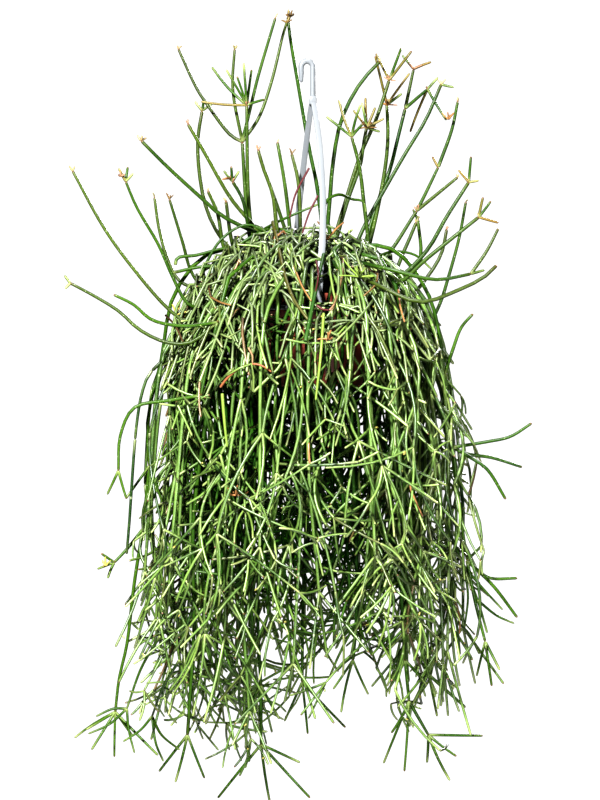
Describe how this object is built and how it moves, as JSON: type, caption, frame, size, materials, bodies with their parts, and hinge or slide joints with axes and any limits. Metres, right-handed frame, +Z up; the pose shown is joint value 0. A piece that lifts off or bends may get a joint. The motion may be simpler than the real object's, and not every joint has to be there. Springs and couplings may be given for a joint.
{
  "type": "mistletoe cactus in a hanging pot",
  "caption": "Mistletoe cactus with thin branching cylindrical stems hanging over a terracotta-coloured plastic pot, carried by a white plastic hook hanger.",
  "frame": {"origin": "inside top of the hook, where it bears on the rail that holds it up", "axes": "+Z up along the hanger and the pot's axis, +X to the right seen from the front, the front towards -Y"},
  "size_m": [0.4767, 0.3963, 0.834],
  "materials": {
    "hanger_plastic": "satin white moulded plastic",
    "pot_plastic": "terracotta-coloured moulded plastic",
    "potting_soil": "moist dark peat",
    "shoot_stem": "smooth olive green succulent stem with small pale areoles",
    "clump_stem": "smooth green succulent stem"
  },
  "bodies": {
    "root": {"clump_01": "clump_stem", "clump_02": "clump_stem", "clump_03": "clump_stem", "clump_04": "clump_stem", "clump_05": "clump_stem", "clump_06": "clump_stem", "clump_07": "clump_stem", "clump_08": "clump_stem", "clump_09": "clump_stem", "clump_10": "clump_stem", "clump_11": "clump_stem", "clump_12": "clump_stem", "clump_13": "clump_stem", "clump_14": "clump_stem", "clump_15": "clump_stem", "clump_16": "clump_stem", "clump_17": "clump_stem", "clump_18": "clump_stem", "clump_19": "clump_stem", "clump_20": "clump_stem", "clump_21": "clump_stem", "clump_22": "clump_stem", "clump_23": "clump_stem", "clump_24": "clump_stem", "hanger": "hanger_plastic", "hanging_back": "shoot_stem", "hanging_left_lobe": "shoot_stem", "hanging_lowest": "shoot_stem", "hanging_notch": "shoot_stem", "hanging_right_back": "shoot_stem", "hanging_right_lobe": "shoot_stem", "pot": "pot_plastic", "shoot_front": "shoot_stem", "shoot_right_arc": "shoot_stem", "shoot_right_whorl": "shoot_stem", "shoot_tallest": "shoot_stem", "soil": "potting_soil", "spray_centre": "shoot_stem", "spray_left_back": "shoot_stem", "spray_left_crown": "shoot_stem", "spray_left_edge": "shoot_stem", "spray_left_fan": "shoot_stem", "spray_left_long": "shoot_stem", "spray_left_low": "shoot_stem", "spray_left_out": "shoot_stem", "spray_left_side": "shoot_stem", "spray_right_back": "shoot_stem", "spray_right_edge": "shoot_stem", "spray_right_lean": "shoot_stem", "spray_right_low": "shoot_stem", "spray_right_mid": "shoot_stem", "spray_right_pair": "shoot_stem", "spray_right_tall": "shoot_stem"}
  },
  "joints": []
}
